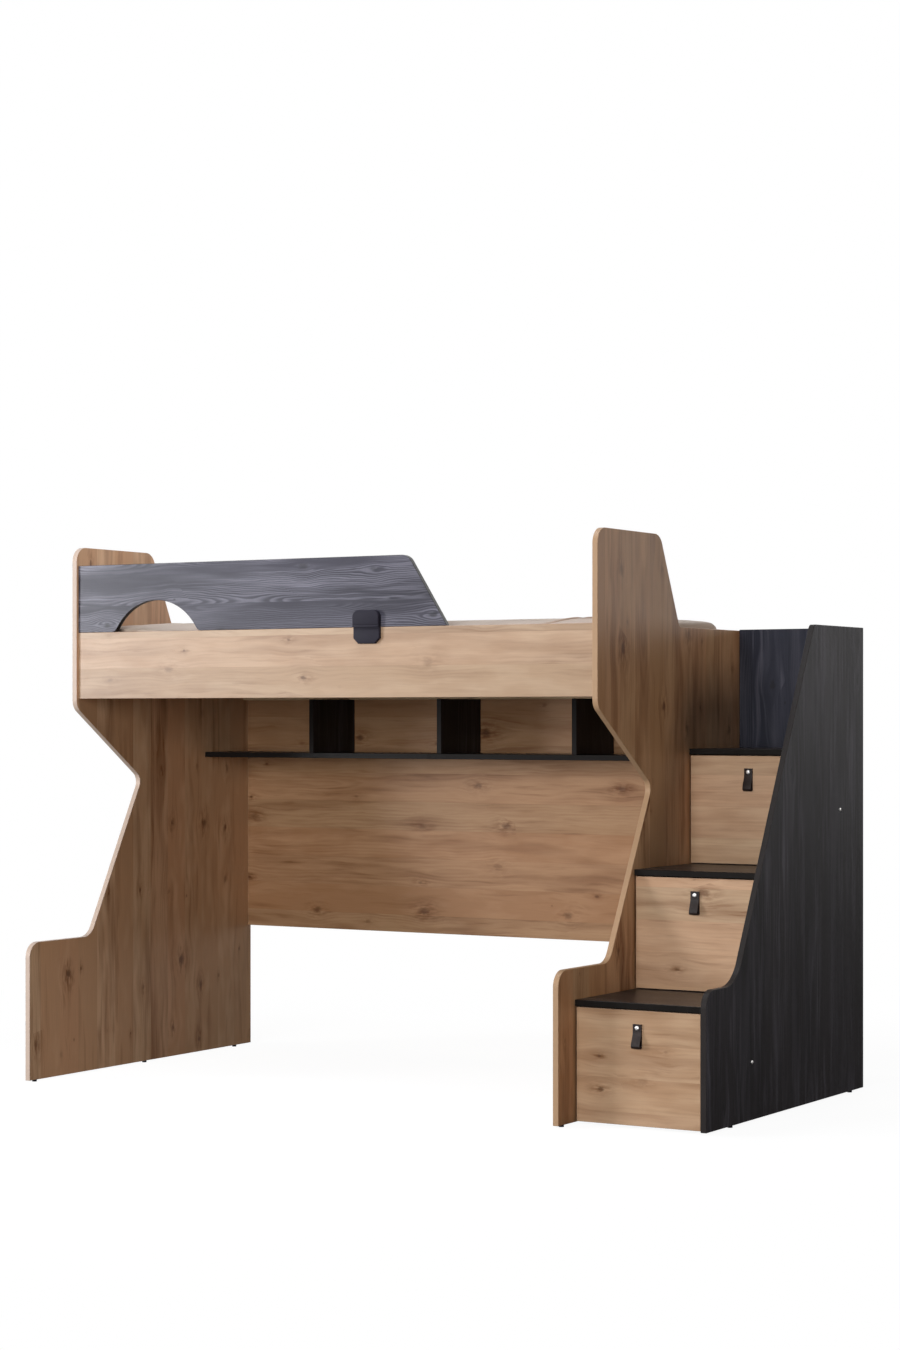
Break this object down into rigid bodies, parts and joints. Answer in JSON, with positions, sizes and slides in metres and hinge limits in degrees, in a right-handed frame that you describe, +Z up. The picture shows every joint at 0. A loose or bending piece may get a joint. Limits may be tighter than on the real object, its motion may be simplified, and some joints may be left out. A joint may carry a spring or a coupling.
{
  "type": "loft bunk bed with drawer stairs",
  "caption": "Loft bunk bed of oak-look boards with a guard board, slatted base, mattress and rear shelf, reached by box stairs whose risers are sliding drawers.",
  "frame": {"origin": "on the floor, under the middle of the whole bed's length and depth", "axes": "+Z up from the floor, +X along the bed towards the stairs, -Y towards the open front"},
  "size_m": [2.381, 1.236, 1.736],
  "materials": {
    "light_oak": "satin laminate printed and embossed as pale tan oak, with cream edge band",
    "dark_oak": "satin laminate embossed as blue-black stained oak",
    "slat_wood": "planed pine, unvarnished",
    "drawer_board": "pale grey-beige laminate on the drawer boxes",
    "drawer_sheet": "thin hardboard with a pale smooth face",
    "black_plastic": "fine-grained moulded plastic",
    "pull_leather": "black-brown strap leather with cut edges",
    "nickel": "bright nickel plate",
    "zinc_steel": "zinc-plated rolled steel",
    "mattress_fabric": "off-white knitted ticking"
  },
  "bodies": {
    "frame": {"back_panel": "light_oak", "bed_slats": "slat_wood", "bottom_tread": "dark_oak", "bottom_wall_channels": "zinc_steel", "bracket_screws": "zinc_steel", "cam_fittings": "zinc_steel", "floor_glides": "black_plastic", "front_rail": "light_oak", "front_slat_ledge": "slat_wood", "guard_bracket": "black_plastic", "guard_rail": "dark_oak", "left_end_panel": "light_oak", "mattress": "mattress_fabric", "middle_tread": "dark_oak", "middle_wall_channels": "zinc_steel", "rear_rail": "light_oak", "rear_slat_ledge": "slat_wood", "right_end_panel": "light_oak", "shelf_board": "dark_oak", "shelf_divider_centre": "dark_oak", "shelf_divider_left": "dark_oak", "shelf_divider_right": "dark_oak", "slide_bolts": "nickel", "stair_back_panel": "dark_oak", "stair_side_panel": "dark_oak", "top_tread": "dark_oak", "top_wall_channels": "zinc_steel"},
    "bottom_drawer": {"bottom_drawer_back": "drawer_board", "bottom_drawer_bottom": "drawer_sheet", "bottom_drawer_front": "light_oak", "bottom_drawer_left_side": "drawer_board", "bottom_drawer_pull": "pull_leather", "bottom_drawer_pull_screw": "nickel", "bottom_drawer_right_side": "drawer_board", "bottom_drawer_slides": "zinc_steel"},
    "middle_drawer": {"middle_drawer_back": "drawer_board", "middle_drawer_bottom": "drawer_sheet", "middle_drawer_front": "light_oak", "middle_drawer_left_side": "drawer_board", "middle_drawer_pull": "pull_leather", "middle_drawer_pull_screw": "nickel", "middle_drawer_right_side": "drawer_board", "middle_drawer_slides": "zinc_steel"},
    "top_drawer": {"top_drawer_back": "drawer_board", "top_drawer_bottom": "drawer_sheet", "top_drawer_front": "light_oak", "top_drawer_left_side": "drawer_board", "top_drawer_pull": "pull_leather", "top_drawer_pull_screw": "nickel", "top_drawer_right_side": "drawer_board", "top_drawer_slides": "zinc_steel"}
  },
  "joints": [
    {"name": "bottom_drawer_slide", "type": "slide", "parent": "frame", "child": "bottom_drawer", "axis": [0, -1, 0], "range_m": [0, 0.38]},
    {"name": "middle_drawer_slide", "type": "slide", "parent": "frame", "child": "middle_drawer", "axis": [0, -1, 0], "range_m": [0, 0.38]},
    {"name": "top_drawer_slide", "type": "slide", "parent": "frame", "child": "top_drawer", "axis": [0, -1, 0], "range_m": [0, 0.22]}
  ]
}
